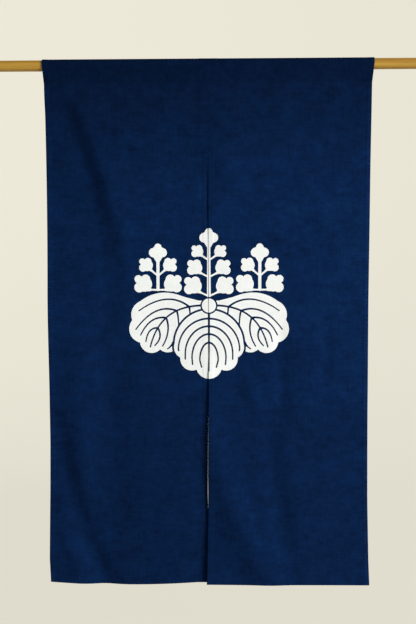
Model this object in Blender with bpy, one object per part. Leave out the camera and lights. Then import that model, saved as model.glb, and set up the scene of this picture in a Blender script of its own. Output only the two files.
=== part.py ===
"""Noren curtain hung on a round wooden rod.

Two widths of indigo cotton are sewn edge to edge at the top and part at a slit below the seam. Each
width is one piece: it comes up from its bottom hem, turns over the rod and runs down the back to the
stitch line that closes the rod pocket. The origin is on the rod's axis at its middle, the front of the
curtain faces -Y, and Z is up. Left and right are as seen from the front.
"""

import math
from typing import NamedTuple, Sequence

import bpy
import numpy as np

# Rod.
ROD_RADIUS = 0.014
ROD_LENGTH = 1.2
ROD_SIDES = 48
ROD_CHAMFER = 0.0015

# Cloth.
CLOTH_THICKNESS = 0.0012
HEM_THICKNESS = 0.0018
SIDE_HEM = 0.013
BOTTOM_HEM = 0.022
HANG_BOTTOM = -1.3535

# Rod pocket.
ROD_CLEARANCE = 0.0006
STITCH_HEIGHT = -0.046
STITCHED_EDGE = 0.002
LAYER_SPACING = 0.0022

# Grid of each width: columns across it, and rows up the front, over the rod and down the back.
COLUMNS = 32
HANG_ROWS = 36
POCKET_ROWS = 2
TURN_ROWS = 12

# Below the stitch line the folds grow to their full depth over this height.
FOLD_ONSET = 0.09

SMOOTH_ANGLE = math.radians(40)


class EdgeRow(NamedTuple):
    """Where the four long edges of the two widths are at one height."""

    height: float
    outer_left: float
    slit_left: float
    slit_right: float
    outer_right: float


EDGES = (
    EdgeRow(height=0.016, outer_left=-0.4280, slit_left=0.0003, slit_right=0.0007, outer_right=0.4285),
    EdgeRow(height=-0.050, outer_left=-0.4245, slit_left=0.0003, slit_right=0.0007, outer_right=0.4235),
    EdgeRow(height=-0.265, outer_left=-0.4232, slit_left=0.0003, slit_right=0.0007, outer_right=0.4202),
    EdgeRow(height=-0.600, outer_left=-0.4213, slit_left=0.0009, slit_right=0.0015, outer_right=0.4169),
    EdgeRow(height=-0.835, outer_left=-0.4173, slit_left=0.0005, slit_right=0.0011, outer_right=0.4164),
    EdgeRow(height=-0.865, outer_left=-0.4170, slit_left=0.0005, slit_right=0.0011, outer_right=0.4162),
    EdgeRow(height=-0.904, outer_left=-0.4167, slit_left=0.0004, slit_right=0.0009, outer_right=0.4160),
    EdgeRow(height=-0.983, outer_left=-0.4162, slit_left=-0.0007, slit_right=0.0000, outer_right=0.4161),
    EdgeRow(height=-1.061, outer_left=-0.4169, slit_left=-0.0014, slit_right=-0.0006, outer_right=0.4163),
    EdgeRow(height=-1.114, outer_left=-0.4175, slit_left=-0.0016, slit_right=-0.0002, outer_right=0.4164),
    EdgeRow(height=-1.153, outer_left=-0.4182, slit_left=-0.0009, slit_right=-0.0004, outer_right=0.4170),
    EdgeRow(height=-1.180, outer_left=-0.4187, slit_left=-0.0006, slit_right=-0.0006, outer_right=0.4176),
    EdgeRow(height=-1.218, outer_left=-0.4193, slit_left=-0.0010, slit_right=-0.0016, outer_right=0.4184),
    EdgeRow(height=-1.290, outer_left=-0.4205, slit_left=-0.0018, slit_right=-0.0032, outer_right=0.4200),
    EdgeRow(height=-1.356, outer_left=-0.4175, slit_left=-0.0030, slit_right=-0.0048, outer_right=0.4228),
)


class Fold(NamedTuple):
    """A soft trough or ridge that runs down a width, or a drop, whose whole left side lies deeper.

    Its centre line is the parabola through top_x, middle_x and foot_x at equal steps of height. Its depth
    is positive towards the back, and swells from nothing at the top to full at the middle and away again.
    """

    top_z: float
    foot_z: float
    top_x: float
    middle_x: float
    foot_x: float
    top_half_width: float
    foot_half_width: float
    depth: float
    is_drop: bool = False


LEFT_FOLDS = (
    # The long drop that runs in from the outer top corner, and the strip outside it that falls back.
    Fold(0.05, -0.68, -0.420, -0.284, -0.224, 0.014, 0.045, 0.0096, is_drop=True),
    Fold(-0.02, -0.64, -0.430, -0.430, -0.430, 0.095, 0.110, 0.0080),
    # The slow ridge beside the seam, which both widths share.
    Fold(0.0, -0.52, 0.034, 0.036, 0.040, 0.042, 0.050, -0.0034),
    # The shallow trough that carries on below the drop.
    Fold(-0.60, -1.38, -0.268, -0.256, -0.246, 0.040, 0.045, 0.0050),
    # The ridge outside that one.
    Fold(-0.62, -1.50, -0.350, -0.343, -0.325, 0.036, 0.040, -0.0042),
    # The trough that runs in across the outer bottom corner.
    Fold(-0.90, -1.62, -0.391, -0.313, -0.120, 0.026, 0.042, 0.0086),
    # The edge of the slit just below the seam, tucked behind its neighbour's.
    Fold(-0.25, -0.47, 0.000, 0.000, 0.000, 0.016, 0.016, 0.0014),
    # The foot, which hangs a little behind its neighbour's.
    Fold(-1.00, -1.95, -0.020, -0.020, -0.020, 0.260, 0.300, 0.0025),
)

RIGHT_FOLDS = (
    # The slow ridge beside the seam, which both widths share.
    Fold(0.0, -0.52, 0.034, 0.036, 0.040, 0.042, 0.050, -0.0034),
    # The slow billow of the outer half.
    Fold(-0.28, -1.02, 0.300, 0.300, 0.300, 0.140, 0.150, -0.0014),
    # The foot, which hangs forward of its neighbour's.
    Fold(-1.00, -1.95, 0.120, 0.120, 0.120, 0.300, 0.380, -0.0055),
    # The slanting ridge beside the slit.
    Fold(-0.74, -1.46, -0.012, 0.042, 0.232, 0.055, 0.034, -0.0074),
    # The broad trough in the middle of the width and its faint forerunner.
    Fold(-0.86, -1.38, 0.150, 0.182, 0.230, 0.026, 0.031, 0.0050),
    Fold(-0.64, -0.98, 0.190, 0.191, 0.195, 0.018, 0.018, 0.0022),
    # The faint upright trough near the outer edge.
    Fold(-0.60, -0.90, 0.307, 0.305, 0.302, 0.018, 0.018, 0.0016),
)


class Droop(NamedTuple):
    """How much further a width hangs down near its foot: most at one place, less to both sides."""

    middle: float
    reach: float
    most: float


LEFT_DROOP = Droop(middle=-0.225, reach=0.195, most=0.0070)
RIGHT_DROOP = Droop(middle=0.200, reach=3.000, most=0.0047)
DROOP_TOP = -0.85
DROOP_FOOT = -1.35


def clear_scene() -> None:
    """Remove every object that the scene starts with."""
    for thing in list(bpy.data.objects):
        bpy.data.objects.remove(thing, do_unlink=True)


def principled(
    name: str, color: tuple[float, float, float], roughness: float, metallic: float = 0.0
) -> bpy.types.Material:
    """Return a plain material of one colour."""
    material = bpy.data.materials.new(name)
    material.use_nodes = True
    shader = material.node_tree.nodes["Principled BSDF"]
    shader.inputs["Base Color"].default_value = (*color, 1.0)
    shader.inputs["Roughness"].default_value = roughness
    shader.inputs["Metallic"].default_value = metallic
    return material


def smooth_step(value: np.ndarray) -> np.ndarray:
    """Rise smoothly from 0 to 1 as the value goes from 0 to 1."""
    value = np.clip(value, 0.0, 1.0)
    return value * value * (3.0 - 2.0 * value)


def fold_depth(folds: Sequence[Fold], x: np.ndarray, z: np.ndarray) -> np.ndarray:
    """Return how far back the folds carry the cloth at (x, z).

    Each fold adds depth * exp(-d^2), where d is the distance across the width from its centre line in half
    widths, times a swell that is sin(pi * t) down the fold. A drop has 1 - smooth step of d in its place.
    """
    total = np.zeros_like(x)
    for fold in folds:
        t = np.clip((z - fold.top_z) / (fold.foot_z - fold.top_z), 0.0, 1.0)
        center = (
            fold.top_x * (2.0 * t - 1.0) * (t - 1.0)
            + fold.middle_x * 4.0 * t * (1.0 - t)
            + fold.foot_x * t * (2.0 * t - 1.0)
        )
        distance = (x - center) / (fold.top_half_width + (fold.foot_half_width - fold.top_half_width) * t)
        shape = 1.0 - smooth_step(0.5 + 0.5 * distance) if fold.is_drop else np.exp(-(distance**2))
        total += fold.depth * np.sin(math.pi * t) * shape
    return total * smooth_step((STITCH_HEIGHT - z) / FOLD_ONSET)


def droop_at(droop: Droop, x: np.ndarray, z: np.ndarray) -> np.ndarray:
    """Return most * (1 - (distance / reach)^2), growing smoothly towards the foot."""
    share = np.clip(1.0 - ((x - droop.middle) / droop.reach) ** 2, 0.0, 1.0)
    return droop.most * share * smooth_step((DROOP_TOP - z) / (DROOP_TOP - DROOP_FOOT))


def section() -> np.ndarray:
    """Return the width's section as rows of (y, z), from the bottom hem up, over the rod and down the back.

    The straight runs of the pocket leave the turn over the rod at a tangent and come together at the
    stitch line, half the layer spacing each side of the middle.
    """
    turn_radius = ROD_RADIUS + ROD_CLEARANCE + HEM_THICKNESS / 2
    half_spacing = LAYER_SPACING / 2
    reach = math.hypot(half_spacing, STITCH_HEIGHT)
    lean = math.atan2(half_spacing, -STITCH_HEIGHT)
    tangent = lean + math.acos(turn_radius / reach)

    heights = np.linspace(HANG_BOTTOM + BOTTOM_HEM, STITCH_HEIGHT, HANG_ROWS)
    front = [(-half_spacing, HANG_BOTTOM)]
    front += [(-half_spacing, z) for z in heights]

    angles = np.linspace(tangent, 2 * math.pi - tangent, TURN_ROWS + 1)
    turn = [(-turn_radius * math.sin(a), -turn_radius * math.cos(a)) for a in angles]

    steps = [k / (POCKET_ROWS + 1) for k in range(1, POCKET_ROWS + 1)]
    rise = [tuple(np.array(front[-1]) + k * (np.array(turn[0]) - front[-1])) for k in steps]
    fall = [(-y, z) for y, z in reversed(rise)]
    back = [(half_spacing, STITCH_HEIGHT), (half_spacing, STITCH_HEIGHT - STITCHED_EDGE)]
    return np.array(front + rise + turn + fall + back)


def edge_at(name: str, z: np.ndarray) -> np.ndarray:
    """Return a long edge's x at each height."""
    rows = sorted(EDGES, key=lambda row: row.height)
    return np.interp(z, [row.height for row in rows], [getattr(row, name) for row in rows])


def cloth_width(
    name: str,
    near_edge: str,
    far_edge: str,
    folds: Sequence[Fold],
    droop: Droop,
    material: bpy.types.Material,
) -> bpy.types.Object:
    """Build one width of cloth from its sheet of mid points, with the hems thicker than the rest."""
    rows = section()
    z = np.repeat(rows[:, 1:], COLUMNS + 1, axis=1)
    near, far = edge_at(near_edge, z), edge_at(far_edge, z)
    inner_columns = np.linspace(0.0, 1.0, COLUMNS - 1)
    hem = SIDE_HEM / (far[0, 0] - near[0, 0])
    across = np.concatenate([[0.0], hem + (1.0 - 2.0 * hem) * inner_columns, [1.0]])
    x = near + (far - near) * across
    y = np.repeat(rows[:, :1], COLUMNS + 1, axis=1)
    on_front = np.arange(len(rows))[:, None] <= HANG_ROWS
    y = y + np.where(on_front, fold_depth(folds, x, z), 0.0)
    z = z - np.where(on_front, droop_at(droop, x, z), 0.0)

    points = np.stack([x, y, z], axis=-1).reshape(-1, 3)
    corner = (np.arange(len(rows) - 1)[:, None] * (COLUMNS + 1) + np.arange(COLUMNS)).reshape(-1)
    faces = np.stack([corner, corner + 1, corner + COLUMNS + 2, corner + COLUMNS + 1], axis=-1)
    mesh = bpy.data.meshes.new(name)
    mesh.from_pydata(points.tolist(), [], faces.tolist())
    mesh.materials.append(material)
    mesh.shade_smooth()
    width = bpy.data.objects.new(name, mesh)
    bpy.context.scene.collection.objects.link(width)

    hems = width.vertex_groups.new(name="hem")
    row, column = np.divmod(np.arange(len(points)), COLUMNS + 1)
    in_hem = (column < 2) | (column > COLUMNS - 2) | (row < 2)
    hems.add(np.flatnonzero(in_hem).tolist(), 1.0, "REPLACE")

    solidify = width.modifiers.new("Thickness", "SOLIDIFY")
    solidify.thickness = HEM_THICKNESS
    solidify.offset = 0.0
    solidify.vertex_group = hems.name
    solidify.thickness_vertex_group = CLOTH_THICKNESS / HEM_THICKNESS
    solidify.use_rim = True
    return width


def round_rod(name: str, material: bpy.types.Material) -> bpy.types.Object:
    """Build the rod along X, with its ends chamfered and their faces flat."""
    mesh = bpy.data.meshes.new(name)
    turning = [
        (ROD_RADIUS - ROD_CHAMFER, -ROD_LENGTH / 2),
        (ROD_RADIUS, -ROD_LENGTH / 2 + ROD_CHAMFER),
        (ROD_RADIUS, ROD_LENGTH / 2 - ROD_CHAMFER),
        (ROD_RADIUS - ROD_CHAMFER, ROD_LENGTH / 2),
    ]
    angles = [2 * math.pi * k / ROD_SIDES for k in range(ROD_SIDES)]
    points = [(x, r * math.cos(a), r * math.sin(a)) for r, x in turning for a in angles]
    faces = [
        (
            ring * ROD_SIDES + k,
            ring * ROD_SIDES + (k + 1) % ROD_SIDES,
            (ring + 1) * ROD_SIDES + (k + 1) % ROD_SIDES,
            (ring + 1) * ROD_SIDES + k,
        )
        for ring in range(len(turning) - 1)
        for k in range(ROD_SIDES)
    ]
    last_ring = (len(turning) - 1) * ROD_SIDES
    faces.append(tuple(reversed(range(ROD_SIDES))))
    faces.append(tuple(range(last_ring, last_ring + ROD_SIDES)))
    mesh.from_pydata(points, [], faces)
    mesh.materials.append(material)
    mesh.shade_smooth()
    mesh.set_sharp_from_angle(angle=SMOOTH_ANGLE)
    rod = bpy.data.objects.new(name, mesh)
    bpy.context.scene.collection.objects.link(rod)
    return rod


def main() -> None:
    """Build the curtain on its rod."""
    clear_scene()
    cotton = principled("indigo_cotton", (0.0027, 0.0140, 0.0560), 0.9)
    wood = principled("rod_wood", (0.47, 0.27, 0.05), 0.45)

    noren = bpy.data.objects.new("noren", None)
    bpy.context.scene.collection.objects.link(noren)
    pieces = (
        cloth_width("panel_left", "outer_left", "slit_left", LEFT_FOLDS, LEFT_DROOP, cotton),
        cloth_width("panel_right", "slit_right", "outer_right", RIGHT_FOLDS, RIGHT_DROOP, cotton),
        round_rod("rod", wood),
    )
    for piece in pieces:
        piece.parent = noren


main()
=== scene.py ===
"""Looks of a noren curtain: two widths of indigo cotton with a white crest, hung on a round wooden rod.

The curtain faces -Y with Z up, and the origin is on the rod's axis at its middle. Left and right are as
seen from the front. A place on a width of cloth is given by x, across the curtain, and q, which is its
height below the pocket's stitch line. Above that line q goes on along the cloth, up the pocket's front,
over the rod and down its back, as if the pocket were unrolled.
"""

import logging
import math
from dataclasses import dataclass, field
from enum import Enum
from typing import Any, Callable, Sequence

import bpy
import numpy as np
from mathutils import Matrix, Vector


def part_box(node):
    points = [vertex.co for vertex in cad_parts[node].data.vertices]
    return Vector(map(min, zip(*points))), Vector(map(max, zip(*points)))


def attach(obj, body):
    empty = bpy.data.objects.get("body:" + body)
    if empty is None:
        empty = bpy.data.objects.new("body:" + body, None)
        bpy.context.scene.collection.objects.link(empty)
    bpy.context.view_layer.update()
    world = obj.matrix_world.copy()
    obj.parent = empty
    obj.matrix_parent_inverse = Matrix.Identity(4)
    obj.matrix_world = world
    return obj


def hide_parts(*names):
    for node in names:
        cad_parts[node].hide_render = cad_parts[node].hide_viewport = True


Array = np.ndarray
Color = tuple[float, float, float, float]
Triple = tuple[float, float, float]
Route = tuple[tuple[float, float], ...]

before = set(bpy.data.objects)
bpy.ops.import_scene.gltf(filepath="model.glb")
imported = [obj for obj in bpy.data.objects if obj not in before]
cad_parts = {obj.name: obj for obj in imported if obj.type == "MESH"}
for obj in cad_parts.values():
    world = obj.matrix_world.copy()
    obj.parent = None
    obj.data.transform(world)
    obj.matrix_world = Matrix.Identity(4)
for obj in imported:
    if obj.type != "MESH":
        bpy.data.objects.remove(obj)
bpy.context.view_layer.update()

LOG = logging.getLogger("noren")
BODY = "root"
CLOTH_MAP = "cloth"
BAKE_MAP = "OFBake"
# The next two attributes hold painted shade and a painted highlight along the outer hems.
PAINTED_SHADE = "shade"
EDGE_HIGHLIGHT = "painted_edge_highlight"
MM = 0.001


class Side(Enum):
    """Which of the two widths, by the sign of its x."""

    LEFT = -1
    RIGHT = 1


# -------- Small formulas on whole arrays


def smooth_step(value: Array) -> Array:
    """Rise smoothly from 0 to 1 as the value goes from 0 to 1."""
    value = np.clip(value, 0.0, 1.0)
    return value * value * (3.0 - 2.0 * value)


def bell(distance: Array, half_width: Any) -> Array:
    """Return exp(-(distance / half width)^2)."""
    return np.exp(-((distance / half_width) ** 2))


def swell(value: Array) -> Array:
    """Return sin(pi * value) between 0 and 1, and 0 outside."""
    return np.sin(math.pi * np.clip(value, 0.0, 1.0))


def soft_union(first: Array, second: Array, blend: float) -> Array:
    """Return the lesser of two distances, rounded off where they differ by less than the blend."""
    share = np.clip(0.5 + 0.5 * (second - first) / blend, 0.0, 1.0)
    return second + (first - second) * share - blend * share * (1.0 - share)


def bezier(points: Sequence[tuple[float, float]], t: Array) -> Array:
    """Return the places at t along the Bezier curve with three or four control points.

    Each control point is weighed by its Bernstein polynomial of t.
    """
    degree = len(points) - 1
    t = t[:, None]
    return sum(
        math.comb(degree, k) * t**k * (1.0 - t) ** (degree - k) * np.array(point)
        for k, point in enumerate(points)
    )


def nearest_on_path(x: Array, z: Array, path: Array) -> tuple[Array, Array]:
    """Find how far each place is from a path of straight runs.

    The place is dropped onto every run and the shortest distance is kept.

    Args:
        x: The places across.
        z: The places up.
        path: The path's corners, one row each.

    Returns:
        The distance, and how far along the path the nearest place is, from 0 to 1.
    """
    best = np.full(np.shape(x), np.inf)
    along = np.zeros(np.shape(x))
    runs = len(path) - 1
    for k in range(runs):
        dx, dz = path[k + 1] - path[k]
        share = np.clip(((x - path[k, 0]) * dx + (z - path[k, 1]) * dz) / (dx * dx + dz * dz), 0.0, 1.0)
        distance = np.hypot(x - path[k, 0] - share * dx, z - path[k, 1] - share * dz)
        nearer = distance < best
        best = np.where(nearer, distance, best)
        along = np.where(nearer, (k + share) / runs, along)
    return best, along


def tapered_line(x: Array, z: Array, path: Array, first: float, last: float) -> Array:
    """Return the distance to a line whose half width goes from first to last along the path."""
    distance, along = nearest_on_path(x, z, path)
    return distance - (first + (last - first) * along)


def graded(length: float, coarsest: float, marks: Sequence[tuple[float, float]], growth: float) -> Array:
    """Return places from 0 to a length that lie close together at each mark.

    The step at a place is the mark's own step plus growth times the distance to that mark, least over the
    marks and never above the coarsest. Places are read off where the running sum of 1 / step is even.

    Args:
        length: Where the places end.
        coarsest: The largest step.
        marks: A place and the step there, for each mark.
        growth: How fast steps grow away from a mark.

    Returns:
        The places in rising order.
    """
    fine = np.linspace(0.0, length, 20001)
    step = np.full_like(fine, coarsest)
    for place, finest in marks:
        step = np.minimum(step, finest + growth * np.abs(fine - place))
    total = np.concatenate([[0.0], np.cumsum(0.5 * (1 / step[1:] + 1 / step[:-1]) * np.diff(fine))])
    count = math.ceil(total[-1])
    return np.interp(np.linspace(0.0, total[-1], count + 1), total, fine)


# -------- Shader expressions


def math_operator(operation: str, swapped: bool = False) -> Callable[["Wire", Any], "Wire"]:
    """Make an operator of Wire.

    Args:
        operation: The Math node's operation.
        swapped: Whether the other value comes first, as in 1 - wire.

    Returns:
        The method, which takes the other value.
    """

    def method(self: "Wire", other: Any) -> "Wire":
        """Add the Math node to the wire's tree."""
        return self.math(operation, *((other, self) if swapped else (self, other)))

    return method


class Wire:
    """A shader socket in a Python expression. Each operator adds one Math node to the socket's tree."""

    def __init__(self, board: "NodeBoard", socket: bpy.types.NodeSocket) -> None:
        """Keep the socket and the board it belongs to."""
        self.board = board
        self.socket = socket

    def math(self, operation: str, *values: Any) -> "Wire":
        """Add a Math node.

        Args:
            operation: The node's operation.
            values: Its inputs in order, numbers or wires.

        Returns:
            The node's value.
        """
        return self.board.add("ShaderNodeMath", {"operation": operation}, dict(enumerate(values)))

    __add__ = math_operator("ADD")
    __radd__ = math_operator("ADD", swapped=True)
    __sub__ = math_operator("SUBTRACT")
    __rsub__ = math_operator("SUBTRACT", swapped=True)
    __mul__ = math_operator("MULTIPLY")
    __rmul__ = math_operator("MULTIPLY", swapped=True)

    def sine(self) -> "Wire":
        """Return the sine of self, in radians."""
        return self.math("SINE", self)

    def risen(self, low: float, high: float) -> "Wire":
        """Return 0 below the low value and 1 above the high one, with a smooth rise between."""
        settings = {"interpolation_type": "SMOOTHSTEP"}
        return self.board.add("ShaderNodeMapRange", settings, {0: self, 1: low, 2: high, 3: 0.0, 4: 1.0})


class NodeBoard:
    """A material's node tree, built through one method for every kind of node."""

    def __init__(self, name: str) -> None:
        """Start a material with an empty tree."""
        self.material = bpy.data.materials.new(name)
        self.material.use_nodes = True
        self.tree = self.material.node_tree
        self.tree.nodes.clear()

    def add(self, kind: str, settings: dict[str, Any], inputs: dict[Any, Any], output: Any = 0) -> Wire:
        """Add a node.

        Args:
            kind: The node's type, such as ShaderNodeMath.
            settings: Its properties, set first.
            inputs: A value or a wire for each socket, by name or number.
            output: Which output to return, by name or number.

        Returns:
            The chosen output as a wire.
        """
        node = self.tree.nodes.new(kind)
        for key, value in settings.items():
            setattr(node, key, value)
        for key, value in inputs.items():
            if isinstance(value, Wire):
                self.tree.links.new(value.socket, node.inputs[key])
            else:
                node.inputs[key].default_value = value
        return Wire(self, node.outputs[output] if node.outputs else None)

    def map_place(self, name: str) -> Wire:
        """Return the place on the piece's own map of this name."""
        return self.add("ShaderNodeUVMap", {"uv_map": name}, {})

    def object_place(self) -> Wire:
        """Return the place in the object's own metres."""
        return self.add("ShaderNodeTexCoord", {}, {}, "Object")

    def number(self, name: str) -> Wire:
        """Return the piece's own attribute of this name."""
        return self.add("ShaderNodeAttribute", {"attribute_name": name}, {}, "Fac")

    def noise(self, vector: Wire, scale: Triple, detail: float = 2.0) -> Wire:
        """Return noise from 0 to 1 with this many lumps a metre along each axis of the vector."""
        place = self.add("ShaderNodeMapping", {}, {"Vector": vector, "Scale": scale})
        inputs = {"Vector": place, "Scale": 1.0, "Detail": detail}
        return self.add("ShaderNodeTexNoise", {"noise_dimensions": "3D"}, inputs)

    def mixed(self, factor: Any, first: Any, second: Any) -> Wire:
        """Return two colours mixed: the first where the factor is 0, the second where it is 1."""
        settings = {"data_type": "RGBA", "blend_type": "MIX", "clamp_factor": True}
        return self.add("ShaderNodeMix", settings, {0: factor, 6: first, 7: second}, 2)

    def scaled(self, color: Any, factor: Any) -> Wire:
        """Return the colour, a wire or three numbers, times a number."""
        return self.add("ShaderNodeVectorMath", {"operation": "SCALE"}, {0: color, "Scale": factor})

    def bump(self, height: Any, distance: float) -> Wire:
        """Return the normal bent by a height, where a height of 1 stands for this distance in metres."""
        return self.add("ShaderNodeBump", {}, {"Height": height, "Distance": distance, "Strength": 1.0})

    def principled(self, inputs: dict[str, Any]) -> bpy.types.Material:
        """Finish the material with a Principled shader.

        Args:
            inputs: A value or a wire for each of the shader's sockets.

        Returns:
            The material.
        """
        shader = self.add("ShaderNodeBsdfPrincipled", {}, inputs)
        self.add("ShaderNodeOutputMaterial", {}, {"Surface": shader})
        return self.material


def opaque(color: Triple) -> Color:
    """Return a colour with full alpha."""
    return (*color, 1.0)


# Each noise of the dye's unevenness: its share, its lumps a metre across and along, and its detail. They
# are clouds, blotches, patches, weft streaks and warp streaks.
UNEVEN_DYE = (
    (0.52, 12.0, 10.0, 3.0),
    (0.70, 27.0, 34.0, 2.0),
    (0.65, 64.0, 85.0, 2.0),
    (0.44, 24.0, 330.0, 2.0),
    (0.52, 330.0, 20.0, 2.0),
)


@dataclass(frozen=True)
class WovenCotton:
    """Plain-woven slubbed cotton in one dye.

    The colour is the dye times one plus small noises: broad clouds and small patches of uneven dyeing, and
    thick and thin yarns both ways. Painted light then multiplies it: darker in the pocket and above, lightest
    at mid height and towards the right, and a little darker again near the bottom, in place of the cloth's
    sheen and the fall-off of the light. A painted highlight lightens specks along the outer hems, where the
    edges catch the light. The shade attribute holds painted shade: a dark line at the slit's edge where one
    width shades the other, a faint line along the seam allowance, and a little in the pocket, where the
    doubled cloth lets less light through.
    """

    name: str
    dye: Triple
    painted_light_share: float
    mottling: float
    edge_highlight: float
    yarn_pitch: float = 0.85 * MM
    relief: float = 0.06 * MM
    roughness: float = 0.9
    specular: float = 0.02

    def painted_light(self, across: Wire, along: Wire) -> Wire:
        """Return the painted light that multiplies the dye at each place: darker in the pocket and above,
        lightest at mid height and towards the right, a little darker again near the bottom.
        """
        height = (along * -1.0).risen(-0.08, 0.42) * 0.51 - (along * -1.0).risen(0.50, 1.15) * 0.19
        painted_gradient = (height + 0.49) * (1.0 + 0.20 * across)
        return (painted_gradient - 1.0) * self.painted_light_share + 1.0

    def material(self) -> bpy.types.Material:
        """Build the cloth's material."""
        board = NodeBoard(self.name)
        place = board.map_place(CLOTH_MAP)
        across = board.add("ShaderNodeSeparateXYZ", {}, {0: place}, "X")
        along = Wire(board, across.socket.node.outputs["Y"])

        slubs = [board.noise(place, scale, 1.0) - 0.5 for scale in ((60.0, 1100.0, 1.0), (1100.0, 60.0, 1.0))]
        yarns = slubs[0] + slubs[1]
        uneven = 0.22 * yarns
        for share, lumps_across, lumps_along, detail in UNEVEN_DYE:
            uneven = uneven + share * (board.noise(place, (lumps_across, lumps_along, 1.0), detail) - 0.5)

        # Painted highlight: specks lightened along the outer hems, where the edges catch the light.
        speckle = board.noise(place, (260.0, 420.0, 1.0), 2.0).risen(0.40, 0.62)
        highlighted = 1.0 + self.edge_highlight * board.number(EDGE_HIGHLIGHT) * speckle
        # Random dye tone, times the painted light, times the painted highlight.
        shade = (1.0 + self.mottling * uneven) * self.painted_light(across, along) * highlighted

        turn = 2.0 * math.pi / self.yarn_pitch
        weave = (across * turn).sine() * (along * turn).sine()
        height = 0.25 * weave + 1.1 * yarns
        return board.principled(
            {
                # The shade attribute's painted shade darkens the colour.
                "Base Color": board.scaled(self.dye, shade * (1.0 - board.number(PAINTED_SHADE))),
                "Roughness": self.roughness,
                "Specular IOR Level": self.specular,
                "Normal": board.bump(height, self.relief),
            }
        )


@dataclass(frozen=True)
class OiledPole:
    """Pale turned wood with its grain along X, oiled to a low shine."""

    name: str
    light: Triple
    dark: Triple

    def material(self) -> bpy.types.Material:
        """Build the wood's material."""
        board = NodeBoard(self.name)
        place = board.object_place()
        bands = board.noise(place, (2.2, 95.0, 95.0), 3.0)
        pores = board.noise(place, (16.0, 900.0, 900.0), 2.0)
        tone = board.mixed(bands.risen(0.34, 0.70), opaque(self.light), opaque(self.dark))
        color = board.scaled(tone, 1.0 - 0.30 * pores.risen(0.52, 0.74))
        return board.principled(
            {
                "Base Color": color,
                "Roughness": 0.42 + 0.16 * bands,
                "Specular IOR Level": 0.35,
                "Normal": board.bump(pores, 0.05 * MM),
            }
        )


@dataclass(frozen=True)
class SpunThread:
    """Cotton sewing thread, with its twist as a slanting bump."""

    name: str
    dye: Triple

    def material(self) -> bpy.types.Material:
        """Build the thread's material."""
        board = NodeBoard(self.name)
        place = board.object_place()
        tufts = board.noise(place, (1400.0, 1400.0, 1400.0), 1.0)
        return board.principled(
            {
                "Base Color": board.scaled(self.dye, 0.8 + 0.4 * tufts),
                "Roughness": 0.8,
                "Specular IOR Level": 0.05,
                "Normal": board.bump(tufts, 0.05 * MM),
            }
        )


# -------- Meshes


@dataclass
class Mesh:
    """A mesh in arrays, ready to become an object.

    Its faces are rows of vertex numbers, all with the same number of corners in one block, and its maps
    have a row of (u, v) for each corner of each face in order. Its numbers are one for each point.
    """

    points: Array
    faces: list[Array]
    maps: dict[str, Array] = field(default_factory=dict)
    numbers: dict[str, Array] = field(default_factory=dict)

    def to_object(
        self, name: str, material: bpy.types.Material, sharp: float | None = None
    ) -> bpy.types.Object:
        """Make the object.

        Args:
            name: The object's name.
            material: Its one material.
            sharp: The angle in radians past which an edge is shaded sharp, or None for all smooth.

        Returns:
            The object, in the scene, at the origin.
        """
        mesh = bpy.data.meshes.new(name)
        corners = np.concatenate([block.reshape(-1) for block in self.faces]).astype(np.int32)
        sizes = np.concatenate([np.full(len(block), block.shape[1]) for block in self.faces])
        starts = np.concatenate([[0], np.cumsum(sizes)[:-1]]).astype(np.int32)
        mesh.vertices.add(len(self.points))
        mesh.vertices.foreach_set("co", self.points.astype(np.float32).reshape(-1))
        mesh.loops.add(len(corners))
        mesh.loops.foreach_set("vertex_index", corners)
        mesh.polygons.add(len(starts))
        mesh.polygons.foreach_set("loop_start", starts)
        mesh.update(calc_edges=True)
        for key, values in self.maps.items():
            layer = mesh.uv_layers.new(name=key)
            layer.uv.foreach_set("vector", values.astype(np.float32).reshape(-1))
        for key, values in self.numbers.items():
            attribute = mesh.attributes.new(key, "FLOAT", "POINT")
            attribute.data.foreach_set("value", values.astype(np.float32).reshape(-1))
        mesh.validate()
        mesh.shade_smooth()
        if sharp is not None:
            mesh.set_sharp_from_angle(angle=sharp)
        mesh.materials.append(material)
        thing = bpy.data.objects.new(name, mesh)
        bpy.context.scene.collection.objects.link(thing)
        return thing


def quads(ids: Array, around: bool = False) -> Array:
    """Return the faces between the rows and columns of a grid of vertex numbers.

    Args:
        ids: The grid of vertex numbers.
        around: Whether the last column meets the first.

    Returns:
        A row of four vertex numbers for each face.
    """
    if around:
        ids = np.concatenate([ids, ids[:, :1]], axis=1)
    return np.stack([ids[:-1, :-1], ids[:-1, 1:], ids[1:, 1:], ids[1:, :-1]], axis=-1).reshape(-1, 4)


def turned(along: Array, radius: Array, sides: int) -> tuple[Array, Array]:
    """Turn a profile about an axis.

    Each profile point gives a ring of (along, radius * cos, radius * sin) at even angles.

    Args:
        along: The profile's places along the axis.
        radius: Its radius at each.
        sides: How many points there are in a ring.

    Returns:
        The points, and the grid of their numbers with a row for each ring.
    """
    turn = np.linspace(0.0, 2.0 * math.pi, sides + 1)[:-1]
    ring = radius[:, None] * np.cos(turn), radius[:, None] * np.sin(turn)
    points = np.stack(np.broadcast_arrays(along[:, None], *ring), axis=-1).reshape(-1, 3)
    return points, np.arange(len(points)).reshape(-1, sides)


def two_sided_map(places: Array, gutter: float = 0.01) -> tuple[Array, Array]:
    """Return a sheet's places spread over a map: its front on the left half, its back on the right."""
    spread = (places - places.min(0)) / np.ptp(places, axis=0)
    front = spread * (0.5 - 2 * gutter, 1 - 2 * gutter) + gutter
    return front, front + (0.5, 0.0)


# -------- How the cloth hangs


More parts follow.
